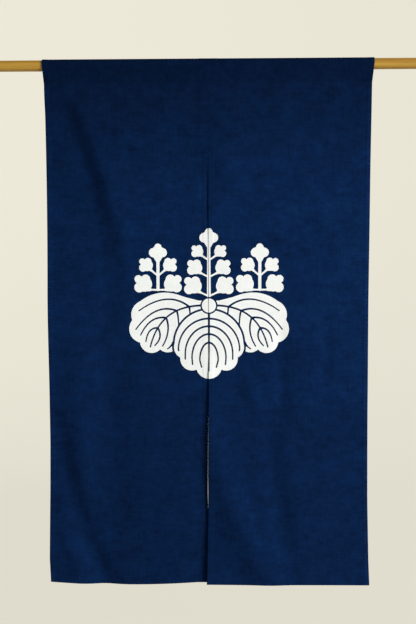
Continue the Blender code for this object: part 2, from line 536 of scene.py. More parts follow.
@dataclass(frozen=True)
class Fold:
    """A main fold that runs down a width.

    Its centre line is the parabola through top_x, middle_x and foot_x at equal steps of height. Its depth
    is positive towards the back, and swells from nothing at the top to full at the middle and away again.
    """

    top_z: float
    foot_z: float
    top_x: float
    middle_x: float
    foot_x: float
    top_half_width: float
    foot_half_width: float
    depth: float

    def across(self, x: Array, z: Array) -> tuple[Array, Array]:
        """Return how far down the fold each place is, from 0 to 1, and its distance in half widths."""
        t = np.clip((z - self.top_z) / (self.foot_z - self.top_z), 0.0, 1.0)
        center = (
            self.top_x * (2.0 * t - 1.0) * (t - 1.0)
            + self.middle_x * 4.0 * t * (1.0 - t)
            + self.foot_x * t * (2.0 * t - 1.0)
        )
        half_width = self.top_half_width + (self.foot_half_width - self.top_half_width) * t
        return t, (x - center) / half_width

    def depth_at(self, x: Array, z: Array) -> Array:
        """Return depth * exp(-distance^2) * sin(pi * t) at each place."""
        t, distance = self.across(x, z)
        return self.depth * swell(t) * bell(distance, 1.0)


@dataclass(frozen=True)
class Drop(Fold):
    """A fold whose left side lies deeper than its right, with a smooth rise across its line."""

    def depth_at(self, x: Array, z: Array) -> Array:
        """Return depth * (1 - smooth step across the line) * sin(pi * t) at each place."""
        t, distance = self.across(x, z)
        return self.depth * swell(t) * (1.0 - smooth_step(0.5 + 0.5 * distance))


@dataclass(frozen=True)
class Crease:
    """A fine crease along a short bent line, deeper in its middle than at its ends.

    The line is a Bezier curve through (x, q) control points. Its depth is positive towards the back.
    """

    route: Route
    half_width: float
    depth: float

    def depth_at(self, x: Array, q: Array) -> Array:
        """Return depth * exp(-(distance / half width)^2) * sin(pi * t)^0.7 at each place."""
        route = np.array(self.route)
        reach = 3.0 * self.half_width
        low, high = route.min(0) - reach, route.max(0) + reach
        near = (x > low[0]) & (x < high[0]) & (q > low[1]) & (q < high[1])
        depth = np.zeros(np.shape(x))
        distance, along = nearest_on_path(x[near], q[near], bezier(self.route, np.linspace(0.0, 1.0, 17)))
        depth[near] = self.depth * swell(along) ** 0.7 * bell(distance, self.half_width)
        return depth


@dataclass(frozen=True)
class Droop:
    """How much further a width hangs down near its foot: most at one place, less to both sides."""

    middle: float
    reach: float
    most: float
    top_z: float = -0.85
    foot_z: float = -1.35

    def at(self, x: Array, z: Array) -> Array:
        """Return most * (1 - (distance / reach)^2), growing smoothly from the top to the foot."""
        share = np.clip(1.0 - ((x - self.middle) / self.reach) ** 2, 0.0, 1.0)
        return self.most * share * smooth_step((self.top_z - z) / (self.top_z - self.foot_z))


@dataclass(frozen=True)
class EdgeRow:
    """Where the four long edges of the two widths are at one height, from left to right."""

    height: float
    outer_left: float
    slit_left: float
    slit_right: float
    outer_right: float


EDGES = (
    EdgeRow(0.016, -0.4280, 0.0007, 0.0003, 0.4285),
    EdgeRow(-0.050, -0.4245, 0.0007, 0.0003, 0.4235),
    EdgeRow(-0.265, -0.4232, 0.0007, 0.0003, 0.4202),
    EdgeRow(-0.600, -0.4213, 0.0014, 0.0010, 0.4169),
    EdgeRow(-0.835, -0.4173, 0.0010, 0.0006, 0.4164),
    EdgeRow(-0.865, -0.4170, 0.0008, 0.0008, 0.4162),
    EdgeRow(-0.904, -0.4167, 0.0006, 0.0007, 0.4160),
    EdgeRow(-0.983, -0.4162, -0.0005, -0.0002, 0.4161),
    EdgeRow(-1.061, -0.4169, -0.0012, -0.0008, 0.4163),
    EdgeRow(-1.114, -0.4175, -0.0014, -0.0005, 0.4164),
    EdgeRow(-1.153, -0.4182, -0.0007, -0.0005, 0.4170),
    EdgeRow(-1.180, -0.4187, -0.0003, -0.0006, 0.4176),
    EdgeRow(-1.218, -0.4193, -0.0010, -0.0016, 0.4184),
    EdgeRow(-1.290, -0.4205, -0.0018, -0.0032, 0.4200),
    EdgeRow(-1.356, -0.4175, -0.0030, -0.0048, 0.4228),
)

# Half of the curtain's finished width, just above the slit.
HALF_WIDTH = abs(EDGES[2].outer_left)

# The slow ridge beside the seam, which both widths share.
SEAM_RIDGE = Fold(0.0, -0.52, 0.034, 0.036, 0.040, 0.042, 0.050, -0.0034)

MAIN_FOLDS = {
    Side.LEFT: (
        SEAM_RIDGE,
        # The long drop that runs in from the outer top corner, and the strip outside it that falls back.
        Drop(0.05, -0.68, -0.420, -0.284, -0.224, 0.014, 0.045, 0.0096),
        Fold(-0.02, -0.64, -0.430, -0.430, -0.430, 0.095, 0.110, 0.0080),
        # The shallow trough that carries on below the drop.
        Fold(-0.60, -1.38, -0.268, -0.256, -0.246, 0.040, 0.045, 0.0050),
        # The ridge outside that one.
        Fold(-0.62, -1.50, -0.350, -0.343, -0.325, 0.036, 0.040, -0.0042),
        # The trough that runs in across the outer bottom corner.
        Fold(-0.90, -1.62, -0.391, -0.313, -0.120, 0.026, 0.042, 0.0086),
        # The edge of the slit just below the seam, tucked behind its neighbour's.
        Fold(-0.25, -0.47, 0.000, 0.000, 0.000, 0.016, 0.016, 0.0014),
        # The foot, which hangs a little behind its neighbour's.
        Fold(-1.00, -1.95, -0.020, -0.020, -0.020, 0.260, 0.300, 0.0025),
    ),
    Side.RIGHT: (
        SEAM_RIDGE,
        # The slow billow of the outer half.
        Fold(-0.28, -1.02, 0.300, 0.300, 0.300, 0.140, 0.150, -0.0014),
        # The foot, which hangs forward of its neighbour's.
        Fold(-1.00, -1.95, 0.120, 0.120, 0.120, 0.300, 0.380, -0.0055),
        # The slanting ridge beside the slit.
        Fold(-0.74, -1.46, -0.012, 0.042, 0.232, 0.055, 0.034, -0.0074),
        # The broad trough in the middle of the width and its faint forerunner.
        Fold(-0.86, -1.38, 0.150, 0.182, 0.230, 0.026, 0.031, 0.0050),
        Fold(-0.64, -0.98, 0.190, 0.191, 0.195, 0.018, 0.018, 0.0022),
        # The faint upright trough near the outer edge.
        Fold(-0.60, -0.90, 0.307, 0.305, 0.302, 0.018, 0.018, 0.0016),
    ),
}

DROOPS = {
    Side.LEFT: Droop(middle=-0.225, reach=0.195, most=0.0070),
    Side.RIGHT: Droop(middle=0.200, reach=3.000, most=0.0047),
}

FINE_CREASES = {
    Side.LEFT: (
        # Faint creases across, left from when the cloth was folded away.
        Crease(((-0.285, -0.652), (-0.260, -0.649), (-0.234, -0.652)), 0.0045, 0.0006),
        Crease(((-0.264, -0.946), (-0.200, -0.943), (-0.127, -0.947)), 0.0050, 0.0007),
        Crease(((-0.150, -1.158), (-0.127, -1.156), (-0.104, -1.158)), 0.0045, 0.0007),
        Crease(((-0.057, -1.158), (-0.040, -1.155), (-0.021, -1.158)), 0.0045, -0.0006),
        # Ridge beside the foot of the corner crease.
        Crease(((-0.388, -1.235), (-0.372, -1.262), (-0.356, -1.290)), 0.0100, -0.0016),
    ),
    Side.RIGHT: (
        # Slanting ridge above the broad trough.
        Crease(((0.080, -0.780), (0.103, -0.830), (0.143, -0.905), (0.162, -0.955)), 0.0200, -0.0020),
        Crease(((0.208, -0.946), (0.230, -0.944), (0.251, -0.947)), 0.0050, 0.0007),
        # Small curved crease under the pocket.
        Crease(((0.340, -0.090), (0.341, -0.125), (0.356, -0.153)), 0.0060, 0.0009),
    ),
}

# Creases in the pocket, which the rod pulls across it.
POCKET_CREASES = {
    Side.LEFT: (
        Crease(((-0.404, -0.018), (-0.400, -0.030), (-0.392, -0.043)), 0.0030, 0.0011),
        Crease(((-0.376, -0.014), (-0.330, -0.026), (-0.289, -0.044)), 0.0034, 0.0014),
        Crease(((-0.286, -0.002), (-0.250, -0.012), (-0.204, -0.035)), 0.0034, 0.0012),
        Crease(((-0.160, -0.020), (-0.130, -0.026), (-0.100, -0.040)), 0.0034, 0.0007),
    ),
    Side.RIGHT: (
        Crease(((0.026, 0.006), (0.046, -0.026), (0.064, -0.037)), 0.0036, 0.0013),
        Crease(((0.140, -0.012), (0.165, -0.026), (0.200, -0.042)), 0.0034, 0.0006),
        Crease(((0.300, -0.042), (0.340, -0.026), (0.385, -0.010)), 0.0034, 0.0008),
    ),
}


@dataclass(frozen=True)
class PocketPath:
    """The line that the middle of the cloth follows, seen from the curtain's end.

    It rises straight from the bottom hem to the stitch line, leans out to meet the turn over the rod at a
    tangent, goes round the turn, and comes down the same way to just past the stitch line at the back.
    """

    rod_radius: float
    bottom: float
    clearance: float = 0.0006
    hem_thickness: float = 0.0018
    stitch_height: float = -0.046
    stitched_edge: float = 0.002
    layer_spacing: float = 0.0022

    def corners(self) -> Array:
        """Return rows of (q, y, z) along the line, close together round the turn."""
        radius = self.rod_radius + self.clearance + self.hem_thickness / 2
        half = self.layer_spacing / 2
        reach = math.hypot(half, self.stitch_height)
        tangent = math.atan2(half, -self.stitch_height) + math.acos(radius / reach)
        angles = np.linspace(tangent, 2 * math.pi - tangent, 97)
        turn = np.stack([-radius * np.sin(angles), -radius * np.cos(angles)], axis=1)
        foot = [(-half, self.bottom), (-half, self.stitch_height)]
        end = [(half, self.stitch_height), (half, self.stitch_height - self.stitched_edge)]
        line = np.concatenate([foot, turn, end])
        run = np.concatenate([[0.0], np.cumsum(np.hypot(*np.diff(line, axis=0).T))])
        return np.column_stack([run + self.bottom, line])

    def place(self, q: Array) -> tuple[Array, Array]:
        """Return y and z at each q."""
        corners = self.corners()
        return np.interp(q, corners[:, 0], corners[:, 1]), np.interp(q, corners[:, 0], corners[:, 2])

    def inward(self, q: Array) -> tuple[Array, Array]:
        """Return the y and z of the direction square to the line, towards the rod or the back.

        The line's direction over a few millimetres is turned a quarter, so its corners come out rounded.
        """
        half_step = 1.2 * MM
        low_y, low_z = self.place(q - half_step)
        high_y, high_z = self.place(q + half_step)
        run = np.hypot(high_y - low_y, high_z - low_z)
        return (high_z - low_z) / run, (low_y - high_y) / run

    def length(self) -> float:
        """Return the cloth's whole length along the line."""
        corners = self.corners()
        return float(corners[-1, 0] - corners[0, 0])


@dataclass(frozen=True)
class WidthOfCloth:
    """One of the two widths, as a closed sheet with thicker hems.

    Its middle is the pocket path at each x, moved square to that path by the folds. Each face is half a
    thickness off the middle, and the half thickness falls to nothing round the edges as the quarter circle
    sqrt(1 - (1 - distance / radius)^2), so that the two faces meet there.
    """

    side: Side
    path: PocketPath
    plain: float = 0.8 * MM
    hemmed: float = 1.35 * MM
    outer_hem: float = 14.5 * MM
    slit_hem: float = 16.5 * MM
    seam_allowance: float = 26.0 * MM
    bottom_hem: float = 20.0 * MM
    turned_in: float = 15.0 * MM
    stitch_inset: float = 1.6 * MM
    stitch_valley: float = 0.26 * MM
    edge_radius: float = 0.9 * MM
    seam_top: float = -0.155
    slit_top: float = -0.265
    fold_onset: float = 0.09
    wave_height: float = 0.9 * MM
    # Painted shade: in the pocket, along the slit's edge and along the seam allowance's edge.
    painted_pocket_shade: float = 0.05
    slit_shade: float = 0.50
    painted_seam_shade: float = 0.09

    def edges(self, z: Array) -> tuple[Array, Array]:
        """Return the x of the slit edge and of the outer edge at each height."""
        rows = sorted(EDGES, key=lambda row: row.height)
        heights = [row.height for row in rows]
        side = self.side.name.lower()
        slit = np.interp(z, heights, [getattr(row, f"slit_{side}") for row in rows])
        outer = np.interp(z, heights, [getattr(row, f"outer_{side}") for row in rows])
        return slit, outer

    def from_edges(self, x: Array, q: Array) -> tuple[Array, Array, Array]:
        """Return how far each place is from the slit edge, the outer edge and the nearer end."""
        slit, outer = self.edges(self.path.place(q)[1])
        sign = self.side.value
        top = self.path.bottom + self.path.length()
        return sign * (x - slit), sign * (outer - x), np.minimum(q - self.path.bottom, top - q)

    def slit_hem_at(self, q: Array) -> Array:
        """Return the width of the turning at the slit edge, which widens to the seam allowance."""
        share = smooth_step((q - self.slit_top) / (self.seam_top - self.slit_top))
        return self.slit_hem + (self.seam_allowance - self.slit_hem) * share

    def depth(self, x: Array, q: Array) -> Array:
        """Return how far the middle of the cloth lies inward of its path: folds, creases and slow waves."""
        z = self.path.place(q)[1]
        hanging = smooth_step((self.path.stitch_height - q) / self.fold_onset)
        total = sum(fold.depth_at(x, z) for fold in MAIN_FOLDS[self.side]) * hanging
        waves = np.sin(9.0 * x + 4.1 * z) * np.sin(7.3 * z + 1.0) + 0.6 * np.sin(23.0 * x - 5.0 * z + 0.6)
        total = total + self.wave_height * waves * hanging
        total = total + sum(crease.depth_at(x, q) for crease in FINE_CREASES[self.side]) * hanging
        return total + sum(crease.depth_at(x, q) for crease in POCKET_CREASES[self.side])

    def hem_share(self, x: Array, q: Array) -> Array:
        """Return 1 on the turnings, where the cloth is doubled, and 0 on plain cloth."""
        slit, outer, end = self.from_edges(x, q)
        step = 2.4 * MM
        on_slit = smooth_step((self.slit_hem_at(q) - slit) / step)
        on_outer = smooth_step((self.outer_hem - outer) / step)
        on_end = smooth_step((self.bottom_hem - end) / step) * (q < self.path.stitch_height)
        return np.maximum(np.maximum(on_slit, on_outer), on_end)

    def shade(self, x: Array, q: Array) -> Array:
        """Return the painted shade: at the slit's edge where one width shades the other, along the seam
        allowance's edge, and in the pocket.
        """
        slit, _, _ = self.from_edges(x, q)
        # Painted shade in the pocket, where the doubled cloth lets less light through.
        pocket = self.painted_pocket_shade * smooth_step((q - self.path.stitch_height) / (9.0 * MM) + 0.5)
        sewn = smooth_step((q - self.slit_top + 0.01) / 0.02)
        # Painted shadow along the slit's edge, where one width shades the other, fading out where the seam is
        # sewn.
        edge = self.slit_shade * bell(slit, 1.5 * MM) * (1.0 - 0.9 * sewn)
        along_seam = smooth_step((q + 0.21) / 0.05)
        # Painted shade along the edge of the seam allowance.
        seam = self.painted_seam_shade * bell(slit - self.seam_allowance, 3.5 * MM) * along_seam
        return np.maximum(pocket, np.maximum(edge, seam))

    def edge_highlight_share(self, x: Array, q: Array) -> Array:
        """Return the painted highlight along the outer hem, where the edge catches the light: stronger at the
        right than at the left.
        """
        _, outer, _ = self.from_edges(x, q)
        strength = 1.0 if self.side is Side.RIGHT else 0.45
        below = smooth_step((self.path.stitch_height - q) / 0.12)
        return strength * below * bell(outer - 6.0 * MM, 5.5 * MM)

    def half_thickness(self, x: Array, q: Array) -> Array:
        """Return half the cloth's thickness, drawn in along the rows of stitches and round at the edges."""
        slit, outer, end = self.from_edges(x, q)
        half = 0.5 * (self.plain + (self.hemmed - self.plain) * self.hem_share(x, q))
        row = 1.1 * MM
        below = q < self.path.stitch_height
        valleys = (
            bell(outer - self.outer_hem + self.stitch_inset, row) * below
            + bell(slit - self.slit_hem_at(q) + self.stitch_inset, row) * below
            + bell(end - self.bottom_hem + self.stitch_inset, row) * below
            + bell(q - self.path.stitch_height, row)
        )
        puckers = 0.75 + 0.25 * np.sin(2.0 * math.pi * (q + 0.3 * x) / 0.0125)
        half = half - self.stitch_valley * np.minimum(valleys, 1.0) * puckers
        nearest = np.minimum(np.minimum(slit, outer), end)
        inside = np.clip(1.0 - nearest / self.edge_radius, 0.0, 1.0)
        return half * np.sqrt(1.0 - inside**2)

    def face(self, x: Array, q: Array, lift: float, inner: bool = False) -> Array:
        """Return places on a face of the cloth.

        Args:
            x: The places across.
            q: The places along.
            lift: How far off the face they are.
            inner: Whether they are on the face towards the rod and the back.

        Returns:
            Their x, y and z along the last axis.
        """
        y, z = self.path.place(q)
        inward_y, inward_z = self.path.inward(q)
        away = self.half_thickness(x, q) + lift
        move = self.depth(x, q) + (away if inner else -away)
        droop = DROOPS[self.side].at(x, z)
        return np.stack([x, y + inward_y * move, z + inward_z * move - droop], axis=-1)

    def grid(self) -> tuple[Array, Array]:
        """Return the x and q of the sheet's rows and columns, close together at hems and edges."""
        bottom, length = self.path.bottom, self.path.length()
        edge, seam, growth = 0.16 * MM, 0.8 * MM, 0.42
        slit_row = self.slit_hem - self.stitch_inset
        outer_row = HALF_WIDTH - self.outer_hem + self.stitch_inset
        marks = ((0.0, edge), (slit_row, seam), (outer_row, seam), (HALF_WIDTH, edge))
        across = graded(HALF_WIDTH, 5.6 * MM, marks, growth)
        hem_row, stitch_row = self.bottom_hem - self.stitch_inset, self.path.stitch_height - bottom
        marks = ((0.0, edge), (hem_row, seam), (stitch_row, seam), (length, edge))
        along = graded(length, 4.0 * MM, marks, growth)
        q = np.repeat((bottom + along)[:, None], len(across), axis=1)
        slit, outer = self.edges(self.path.place(q)[1])
        near, far = (slit, outer) if self.side is Side.RIGHT else (outer, slit)
        share = across / HALF_WIDTH if self.side is Side.RIGHT else 1.0 - across[::-1] / HALF_WIDTH
        return near + (far - near) * share, q

    def mesh(self) -> Mesh:
        """Build the closed sheet from its outer and inner face, which share their four edges."""
        x, q = self.grid()
        outer = self.face(x, q, 0.0)
        inner = self.face(x, q, 0.0, inner=True)
        rows, columns = x.shape
        outer_ids = np.arange(rows * columns).reshape(rows, columns)
        inner_ids = outer_ids.copy()
        inner_ids[1:-1, 1:-1] = rows * columns + np.arange((rows - 2) * (columns - 2)).reshape(rows - 2, -1)
        points = np.concatenate([outer.reshape(-1, 3), inner[1:-1, 1:-1].reshape(-1, 3)])
        numbers = {
            key: np.concatenate([values.reshape(-1), values[1:-1, 1:-1].reshape(-1)])
            for key, values in ((PAINTED_SHADE, self.shade(x, q)), (EDGE_HIGHLIGHT, self.edge_highlight_share(x, q)))
        }

        corner = quads(outer_ids)
        cloth = np.stack([x.reshape(-1), q.reshape(-1)], axis=1)
        front, back = two_sided_map(cloth)
        maps = {
            CLOTH_MAP: np.concatenate([cloth[corner], cloth[corner[:, ::-1]]]),
            BAKE_MAP: np.concatenate([front[corner], back[corner[:, ::-1]]]),
        }
        return Mesh(points, [quads(outer_ids), quads(inner_ids)[:, ::-1]], maps, numbers)

    def flat_size(self) -> tuple[float, float]:
        """Return the width and length that the cloth was cut to, turnings included."""
        width = HALF_WIDTH + self.outer_hem + self.seam_allowance + self.turned_in
        return width, self.path.length() + 2 * self.bottom_hem

    def dress(self, material: bpy.types.Material) -> bpy.types.Object:
        """Make the width of cloth and put it in its CAD solid's place."""
        name = self.side.name.lower()
        piece = self.mesh().to_object(f"cloth_{name}", material)
        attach(piece, BODY)
        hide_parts(f"panel_{name}")
        return piece


# -------- Stitching


@dataclass(frozen=True)
class Stitching:
    """The rows of stitches on one width, as short threads that dip into the cloth at both ends.

    A thread is a tube along its stitch. At t along it, from -1 to 1, its radius is r * sqrt(1 - 0.9 t^2) and
    its middle stands off the cloth by lift * (1 - 2 t^2).
    """

    width: WidthOfCloth
    pitch: float = 3.6 * MM
    length: float = 2.7 * MM
    radius: float = 0.26 * MM
    lift: float = 0.10 * MM
    bare_top: float = -0.405
    bare_foot: float = -0.830
    tack_rows: int = 3
    tack_reach: float = 12.5 * MM

    def rows(self) -> list[tuple[Array, Array, bool]]:
        """Return x, q and whether it is on the inner face, for the middles of each row's stitches."""
        width, path = self.width, self.width.path
        stitch, bottom = path.stitch_height, path.bottom
        sign = width.side.value
        inset = width.stitch_inset
        down = np.arange(bottom + width.bottom_hem, stitch - self.pitch, self.pitch)
        slit, outer = width.edges(down)
        slit_row = slit + sign * (width.slit_hem_at(down) - inset)
        outer_row = outer - sign * (width.outer_hem - inset)
        open_slit = (down < width.slit_top) & ((down < self.bare_foot) | (down > self.bare_top))

        hem_q = bottom + width.bottom_hem - inset
        slit_x, outer_x = width.edges(np.array(hem_q))
        hem_x = sign * np.arange(sign * slit_x + 2 * inset, sign * outer_x - 2 * inset, self.pitch)
        slit_x, outer_x = width.edges(np.array(stitch))
        top_x = sign * np.arange(sign * slit_x + inset, sign * outer_x - inset, self.pitch)
        back_q = bottom + path.length() - path.stitched_edge

        rows = []
        for inner in (False, True):
            rows.append((outer_row, down, inner))
            rows.append((slit_row[open_slit], down[open_slit], inner))
            rows.append((hem_x, np.full_like(hem_x, hem_q), inner))
        rows.append((top_x, np.full_like(top_x, stitch), False))
        rows.append((top_x, np.full_like(top_x, back_q), False))
        for k in range(self.tack_rows):
            tack_x = sign * np.arange(0.5 * self.pitch, self.tack_reach, 1.07 * self.length)
            rows.append((tack_x, np.full_like(tack_x, width.slit_top + (k - 1) * 1.3 * MM), False))
        return rows

    def mesh(self) -> Mesh:
        """Build every stitch of the width as one mesh of small tubes."""
        t = np.array([-1.0, -0.55, 0.0, 0.55, 1.0])
        turn = np.linspace(0.0, 2.0 * math.pi, 6)[:-1]
        radius = self.radius * np.sqrt(1.0 - 0.9 * t**2)
        rise = self.lift * (1.0 - 2.0 * t**2)
        blocks = []
        for x, q, inner in self.rows():
            step = np.stack([np.gradient(x), np.gradient(q)], axis=1)
            step /= np.linalg.norm(step, axis=1, keepdims=True)
            reach = 0.5 * self.length
            ends_x = x[:, None] + step[:, :1] * reach * t
            ends_q = q[:, None] + step[:, 1:] * reach * t
            line = self.width.face(ends_x, ends_q, 0.0, inner)
            above = self.width.face(ends_x, ends_q, 1.0 * MM, inner)
            normal = (above - line) / np.linalg.norm(above - line, axis=-1, keepdims=True)
            ahead = line[:, -1:] - line[:, :1]
            sideways = np.cross(np.broadcast_to(ahead, normal.shape), normal)
            sideways /= np.linalg.norm(sideways, axis=-1, keepdims=True)
            middle = line + normal * rise[None, :, None]
            ring = np.cos(turn)[:, None] * sideways[:, :, None, :]
            ring = ring + np.sin(turn)[:, None] * normal[:, :, None, :]
            blocks.append(middle[:, :, None, :] + radius[None, :, None, None] * ring)
        points = np.concatenate(blocks)
        count, rings, sides, _ = points.shape
        ids = np.arange(count * rings * sides).reshape(count, rings, sides)
        wrapped = np.concatenate([ids, ids[:, :, :1]], axis=2)
        caps = np.concatenate([ids[:, 0], ids[:, -1, ::-1]])

        cells = math.ceil(math.sqrt(count))
        row, column = np.divmod(np.arange(count), cells)
        origin = np.stack([column, row], axis=1)[:, None, None, :]
        u = np.broadcast_to(np.arange(sides + 1) / sides, (count, rings, sides + 1))
        v = np.broadcast_to(((t + 1.0) / 2.0)[None, :, None], u.shape)
        spread = (origin + 0.12 + 0.76 * np.stack([u, v], axis=-1)) / cells
        cap_map = np.concatenate([spread[:, 0, :-1], spread[:, -1, :-1][:, ::-1]])
        maps = {BAKE_MAP: np.concatenate([self.walls(spread).reshape(-1, 2), cap_map.reshape(-1, 2)])}
        return Mesh(points.reshape(-1, 3), [self.walls(wrapped).reshape(-1, 4), caps], maps)

    @staticmethod
    def walls(grid: Array) -> Array:
        """Return the four corners of every cell of each tube's grid, turned so that they face out."""
        return np.stack([grid[:, :-1, :-1], grid[:, 1:, :-1], grid[:, 1:, 1:], grid[:, :-1, 1:]], axis=3)

    def dress(self, material: bpy.types.Material) -> bpy.types.Object:
        """Make the stitches as one piece."""
        piece = self.mesh().to_object(f"stitching_{self.width.side.name.lower()}", material)
        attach(piece, BODY)
        return piece


# -------- Crest


@dataclass(frozen=True)
class Vein:
    """A vein of a leaf: where it leaves the midrib, the place that it bends towards, and its end."""

    start: float
    pull: tuple[float, float]
    end: tuple[float, float]

    def arch(self, quarter: Array) -> Array:
        """Return the vein of the middle leaf: a quarter ellipse from the midrib, then straight to its end."""
        reach, middle = self.pull
        arc = [reach * np.sin(quarter), middle + (self.start - middle) * np.cos(quarter)]
        return np.concatenate([np.stack(arc, axis=1), [self.end]])

    def branch(self, midrib: Route, t: Array) -> Array:
        """Return the vein of a side leaf: a Bezier curve that leaves the bent midrib at its start."""
        joint = bezier(midrib, np.array([self.start]))[0]
        return bezier((joint, self.pull, self.end), t)


@dataclass(frozen=True)
class Blossom:
    """A flower on a stalk: where its stem leaves the stalk, where its body is, and its half size."""

    joint: tuple[float, float]
    body: tuple[float, float]
    size: float


@dataclass(frozen=True)
class Disc:
    """A round lobe of a leaf."""

    x: float
    z: float
    radius: float

    def distance(self, x: Array, z: Array) -> Array:
        """Return how far each place is outside the disc."""
        return np.hypot(x - self.x, z - self.z) - self.radius


@dataclass(frozen=True)
class LeafCrest:
    """A crest of three paulownia leaves under three flower stalks, drawn as a distance field.

    Lengths are in millimetres from the round boss in its middle, and the two halves mirror each other, so
    x is never negative. A place is white where the distance is below zero: that of a union is the least of
    its shapes', and a dark line or gap takes away the places nearer to it than its half width.
    """

    line: float = 2.6
    boss: float = 18.4
    boss_ring: float = 4.0
    stalk: float = 5.0
    side_stalk: float = 4.0
    side_stalk_x: float = 132.6

    center_leaf: tuple[Disc, ...] = (
        Disc(0.0, -101.5, 89.8),
        Disc(60.0, -108.5, 31.5),
        Disc(44.5, -139.5, 30.5),
        Disc(0.0, -157.5, 34.0),
        Disc(0.0, -112.0, 60.0),
    )
    side_crown: Disc = Disc(115.0, -69.2, 103.0)
    side_core: Disc = Disc(120.0, -60.0, 54.0)
    side_shoulder: Route = ((22.0, -4.5), (82.0, -17.0))
    side_leaf: tuple[Disc, ...] = (
        Disc(165.0, -24.0, 38.0),
        Disc(172.0, -61.0, 36.5),
        Disc(150.0, -93.5, 30.5),
        Disc(108.0, -94.0, 28.5),
    )
    side_midrib: Route = ((16.0, 0.5), (76.0, -1.0), (132.0, -22.0), (153.5, -108.0))
    center_veins: tuple[Vein, ...] = (
        Vein(-34.0, (80.0, -115.0), (79.0, -118.0)),
        Vein(-54.0, (62.0, -126.0), (62.0, -140.0)),
        Vein(-74.5, (44.5, -137.0), (43.0, -154.0)),
        Vein(-97.0, (24.0, -143.0), (19.5, -161.0)),
    )
    side_veins: tuple[Vein, ...] = (
        Vein(0.20, (107.0, 41.0), (183.0, -13.5)),
        Vein(0.40, (140.0, 8.0), (191.0, -62.0)),
        Vein(0.59, (154.0, -25.0), (178.6, -77.0)),
        Vein(0.77, (160.0, -57.0), (165.0, -94.0)),
        Vein(0.20, (49.5, -12.0), (49.3, -26.0)),
        Vein(0.40, (79.5, -25.0), (79.0, -56.0)),
        Vein(0.59, (98.0, -67.0), (121.4, -106.0)),
        Vein(0.77, (119.0, -83.0), (142.0, -104.6)),
    )
    side_stub: Route = ((94.0, -96.0), (98.0, -107.0), (108.5, -113.0))
    center_blossoms: tuple[Blossom, ...] = (
        Blossom((2.0, 119.0), (29.6, 141.0), 16.4),
        Blossom((2.0, 75.0), (36.6, 99.0), 20.8),
        Blossom((2.0, 25.0), (41.4, 51.5), 24.2),
    )
    side_blossoms: tuple[Blossom, ...] = (
        Blossom((1.0, 78.0), (31.0, 105.5), 18.8),
        Blossom((1.0, 41.0), (38.5, 56.5), 24.4),
    )

    @staticmethod
    def trefoil(x: Array, z: Array, flower: Blossom) -> Array:
        """Return the distance to a flower.

        It is a round body with three lobes, above, outwards above and outwards, on a thin stem that widens
        as it meets the body's inner foot.
        """
        size = flower.size
        u, v = (x - flower.body[0]) / size, (z - flower.body[1]) / size
        shape = np.hypot(u + 0.15, v + 0.03) - 0.79
        for lobe_u, lobe_v, radius in ((-0.26, 0.50, 0.50), (0.52, 0.52, 0.42), (0.42, -0.36, 0.54)):
            shape = soft_union(shape, np.hypot(u - lobe_u, v - lobe_v) - radius, 0.05)
        joint = (np.array(flower.joint) - flower.body) / size
        stem = np.array([joint, (-0.62, -0.62), (-0.2, -0.25)])
        distance, along = nearest_on_path(u, v, stem)
        neck = distance - (2.3 / size + 0.42 * np.clip(1.45 * along - 0.45, 0.0, 1.0) ** 1.3)
        return size * soft_union(shape, neck, 0.12)

    @staticmethod
    def top_flower(x: Array, z: Array, middle: float, size: float) -> Array:
        """Return the distance to a stalk's top flower: two wide lobes, a small one and a spade foot."""
        x = np.abs(x)
        shape = np.hypot(x - 0.48 * size, z - middle) - 0.52 * size
        shape = soft_union(shape, np.hypot(x, z - middle - 0.60 * size) - 0.40 * size, 0.8)
        foot = np.array([(0.0, middle - 0.04 * size), (0.0, middle - 1.15 * size)])
        return soft_union(shape, tapered_line(x, z, foot, 0.78 * size, 0.12 * size), 0.9)

    def flower_stalks(self, x: Array, z: Array) -> Array:
        """Return the distance to the three stalks with their flowers."""
        white = tapered_line(x, z, np.array([(0.0, 24.0), (0.0, 160.0)]), self.stalk, 0.8 * self.stalk)
        for flower in self.center_blossoms:
            white = np.minimum(white, self.trefoil(x, z, flower))
        white = np.minimum(white, self.top_flower(x, z, 176.5, 24.5))
        beside = x - self.side_stalk_x
        path = np.array([(0.0, 42.0), (0.0, 122.0)])
        white = np.minimum(white, tapered_line(beside, z, path, self.side_stalk, self.side_stalk))
        for flower in self.side_blossoms:
            white = np.minimum(white, self.trefoil(np.abs(beside), z, flower))
        return np.minimum(white, self.top_flower(beside, z, 138.0, 23.5))

    def middle_leaf(self, x: Array, z: Array) -> tuple[Array, Array]:
        """Return the distances to the middle leaf's outline and to its white.

        Its veins leave the midrib square to it and bend down as quarter ellipses.
        """
        crown, shoulder = self.center_leaf[:2]
        outline = np.maximum(crown.distance(x, z), shoulder.z - z)
        for lobe in self.center_leaf[1:]:
            outline = soft_union(outline, lobe.distance(x, z), 1.0)
        quarter = np.linspace(0.0, math.pi / 2, 22)
        white = outline
        for vein in self.center_veins:
            white = np.maximum(white, -tapered_line(x, z, vein.arch(quarter), self.line, 0.75 * self.line))
        midrib = np.array([(0.0, -15.0), (0.0, -95.0), (0.0, -171.0)])
        return outline, np.maximum(white, -tapered_line(x, z, midrib, 3.1, 1.5))

